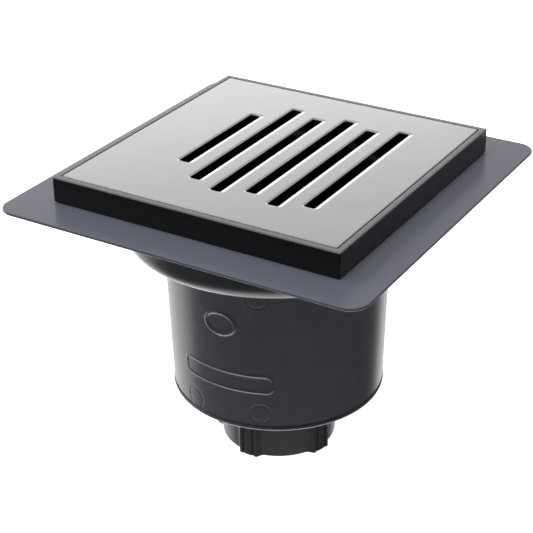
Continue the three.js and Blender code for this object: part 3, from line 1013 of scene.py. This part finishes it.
# ---------------------------------------------------------------- outlet
def nut_outline():
    """(angle, reach of a lobe from the axis, or 0 between lobes) round the nut. Each lobe has two grooves."""
    root, face, reach, foot = LOBE["root"] / 2, LOBE["face"] / 2, LOBE["reach"], NUT["foot"]
    rib, depth = LOBE_GROOVE["rib"], LOBE_GROOVE["depth"]
    far = face - rib - LOBE_GROOVE["width"]
    right = [
        (root + 1.5, foot - 0.3),
        (root, foot, 0.5),
        (face, reach, 0.4),
        (face - rib, reach, 0.2),
        (face - rib - 0.15, reach - depth, 0.15),
        (far + 0.15, reach - depth, 0.15),
        (far, reach, 0.2),
    ]
    left = [(-x, y, *rest) for x, y, *rest in reversed(right)]
    lobe = [(math.degrees(math.atan2(-x, y)), math.hypot(x, y)) for x, y in soften(right + left, False)][1:-1]
    outline = []
    pitch = 360 / LOBE["count"]
    between = 30
    for number in range(LOBE["count"]):
        middle = LOBE["first"] + pitch * number
        outline += [(middle + turn, reach) for turn, reach in lobe]
        start, end = lobe[-1][0], pitch + lobe[0][0]
        outline += [(middle + start + (end - start) * k / between, 0) for k in range(1, between)]
    return outline


def outlet_nut():
    """Ring that widens upwards, with five lobes to turn it by."""
    outline = [(math.radians(degrees), reach) for degrees, reach in nut_outline()]
    top, rim = nut.top, NUT["rim"]

    def outer_loop(inset, height):
        ring_reach = NUT["foot"] + (NUT["outer"] - NUT["foot"]) * height / top
        return [polar(max(ring_reach, reach) - inset, turn, height) for turn, reach in outline]

    def inner_loop(radius, height):
        return [polar(radius, turn, height) for turn, _ in outline]

    outside = soften([(rim, 0), (0, 0, 0.45), (0, top, 0.6), (rim, top)], closed=False)[1:-1]
    inside = soften(
        [
            (NUT["foot"] - rim, top),
            (NUT["bore"], top, 0.4),
            (NUT["bore"], NUT["lip"], 0.3),
            (NUT["hole"], NUT["lip"], 0.4),
            (NUT["hole"], 0, 0.5),
            (NUT["foot"] - rim, 0),
        ],
        closed=False,
    )[1:]
    loops = [outer_loop(inset, height) for inset, height in outside]
    loops += [inner_loop(radius, height) for radius, height in inside]
    return to_object("outlet_nut", *strips(loops))


def add_outlet():
    rubber, trap = MATERIALS["seal_rubber"], MATERIALS["trap_plastic"]
    inner = ring.radius - SEAL["wall"]
    shoulder = base.bottom - GAP
    seal = [
        (inner, cone.bottom, 0.2),
        (cone.radius, cone.bottom, 0.3),
        (cone.radius, shoulder, 0.2),
        (SEAL["shoulder"], shoulder, 0.2),
        (inner, cone.top, 0.4),
    ]
    add_turned("outlet_seal", seal, "outlet_rings", rubber, SMALL)
    flat = ring_outline(inner, ring.radius, ring.bottom, ring.top, 0.3, 0.3)
    add_turned("slip_ring", flat, "outlet_rings", trap, SMALL)
    add_piece("outlet_nut", outlet_nut(), "nut", MATERIALS["nut_plastic"])


# ---------------------------------------------------------------- stage, light and camera
VIEW = {"azimuth": 31.556, "elevation": 28.419, "roll": -0.806, "lens": 95.69}  # degrees; lens in mm
EYE = Vector((316.87, -526.44, 426.2))
# Brightness of the surroundings above and below the horizon. A bearing is in degrees from straight behind the
# object. A pair says where a gradient starts and ends, along that bearing or up Z, on a scale of -1 to 1.
SKY = {"bearing": 15, "edge": (-0.3, 0.5), "dark": 0.3, "back": 0.62}
SKY_BAND = {"bearing": 35, "edge": (0.3, 0.8), "height": (0.15, 0.38), "bright": 1.5}
GROUND = {"bearing": 14, "edge": (0.28, 0.55), "dark": 0.06, "bright": 1.75}
GROUND_BELOW = {"height": (-0.95, -0.72), "bright": 4.0}
HORIZON = (-0.12, 0.08)
BACKDROP, FLOOR_GLOW = 1.1, 1.05  # white behind the object and under it
FLOOR_SIZE = 8  # metres
LIGHT_TARGET = Vector((0, 0, 0.12))
SOFTBOXES = [  # name, place in metres, size in metres, watts, seen in reflections
    ("softbox_top", (0.1, -0.3, 1.6), (1.0, 1.0), 19, False),
    ("softbox_left", (-0.8, -0.35, 0.42), (0.4, 0.4), 2.2, True),
    ("softbox_back", (-0.29, 0.32, 0.25), (0.5, 0.2), 0.12, True),
    ("softbox_line", (-0.45, -0.12, 0.8), (0.1, 0.3), 0.25, True),
]


def add_camera():
    azimuth, elevation = math.radians(VIEW["azimuth"]), math.radians(VIEW["elevation"])
    level = math.cos(elevation)
    toward = Vector((-math.sin(azimuth) * level, math.cos(azimuth) * level, -math.sin(elevation)))
    roll = Quaternion((0, 0, 1), math.radians(VIEW["roll"]))
    camera = bpy.data.objects.new("camera", bpy.data.cameras.new("camera"))
    camera.data.lens = VIEW["lens"]
    camera.data.clip_start, camera.data.clip_end = 0.01, 50
    camera.location = EYE * MM
    camera.rotation_mode = "QUATERNION"
    camera.rotation_quaternion = toward.to_track_quat("-Z", "Y") @ roll
    bpy.context.scene.collection.objects.link(camera)
    bpy.context.scene.camera = camera


def add_floor():
    """Large pale floor at the level of the outlet's face. It neither shades the object nor lights it."""
    bpy.ops.mesh.primitive_plane_add(size=FLOOR_SIZE, location=(0, 0, cad_box[0].z))
    floor = bpy.context.object
    floor.name = "floor"
    paint = Paint("floor_paper", (0.9, 0.9, 0.9), 0.9, specular=0.1)
    paint.vary_color(paint.noise(0.01), 0.01)
    paint.set("Emission Color", (1, 1, 1, 1))
    paint.set("Emission Strength", FLOOR_GLOW)
    floor.data.materials.append(paint.material)
    floor.visible_glossy = floor.visible_diffuse = floor.visible_shadow = False


def add_softbox(name, place, size, power, reflected):
    """Soft light aimed at the object. The camera never sees it; reflections may."""
    light = bpy.data.objects.new(name, bpy.data.lights.new(name, "AREA"))
    light.data.shape = "RECTANGLE"
    light.data.size, light.data.size_y = size
    light.data.energy = power
    light.visible_camera = False
    light.visible_glossy = reflected
    light.location = place
    light.rotation_mode = "QUATERNION"
    light.rotation_quaternion = (LIGHT_TARGET - Vector(place)).to_track_quat("-Z", "Y")
    bpy.context.scene.collection.objects.link(light)


def add_world():
    """Bright surroundings behind the object, dim ones in front, and a white backdrop for the camera."""
    world = bpy.data.worlds.new("studio")
    bpy.context.scene.world = world
    world.use_nodes = True
    tree = world.node_tree
    tree.nodes.clear()

    def add(kind, **values):
        node = tree.nodes.new(kind)
        for name, value in values.items():
            setattr(node, name, value)
        return node

    def along(degrees, source):
        """How far a direction points towards a bearing."""
        turn = math.radians(VIEW["azimuth"] + degrees)
        node = add("ShaderNodeVectorMath", operation="DOT_PRODUCT")
        node.inputs[1].default_value = (-math.sin(turn), math.cos(turn), 0)
        tree.links.new(source, node.inputs[0])
        return node.outputs["Value"]

    def ease(source, edge, low, high):
        start, end = edge
        node = add("ShaderNodeMapRange", interpolation_type="SMOOTHSTEP")
        for name, value in (("From Min", start), ("From Max", end), ("To Min", low), ("To Max", high)):
            node.inputs[name].default_value = value
        tree.links.new(source, node.inputs["Value"])
        return node.outputs["Result"]

    def math_node(operation, first, second):
        node = add("ShaderNodeMath", operation=operation)
        tree.links.new(first, node.inputs[0])
        tree.links.new(second, node.inputs[1])
        return node.outputs[0]

    place = add("ShaderNodeTexCoord").outputs["Generated"]
    height = add("ShaderNodeSeparateXYZ")
    tree.links.new(place, height.inputs[0])
    z = height.outputs["Z"]
    sky = ease(along(SKY["bearing"], place), SKY["edge"], SKY["dark"], SKY["back"])
    band = ease(along(SKY_BAND["bearing"], place), SKY_BAND["edge"], 0, SKY_BAND["bright"])
    sky = math_node("ADD", sky, math_node("MULTIPLY", band, ease(z, SKY_BAND["height"], 1, 0)))
    ground = ease(along(GROUND["bearing"], place), GROUND["edge"], GROUND["dark"], GROUND["bright"])
    ground = math_node("ADD", ground, ease(z, GROUND_BELOW["height"], GROUND_BELOW["bright"], 0))
    level = ease(z, HORIZON, 0, 1)
    blend = add("ShaderNodeMix", data_type="FLOAT")
    tree.links.new(level, blend.inputs["Factor"])
    tree.links.new(ground, blend.inputs["A"])
    tree.links.new(sky, blend.inputs["B"])
    room = add("ShaderNodeBackground")
    tree.links.new(blend.outputs["Result"], room.inputs["Strength"])
    backdrop = add("ShaderNodeBackground")
    backdrop.inputs["Strength"].default_value = BACKDROP
    for node in (room, backdrop):
        node.inputs["Color"].default_value = (1, 1, 1, 1)
    choose = add("ShaderNodeMixShader")
    tree.links.new(add("ShaderNodeLightPath").outputs["Is Camera Ray"], choose.inputs["Fac"])
    tree.links.new(room.outputs["Background"], choose.inputs[1])
    tree.links.new(backdrop.outputs["Background"], choose.inputs[2])
    tree.links.new(choose.outputs["Shader"], add("ShaderNodeOutputWorld").inputs["Surface"])


def add_studio():
    add_world()
    for softbox in SOFTBOXES:
        add_softbox(*softbox)
    bpy.context.scene.view_settings.view_transform = "Standard"


add_camera()
add_grate()
add_frame()
add_flange()
add_body()
add_outlet()
add_floor()
add_studio()
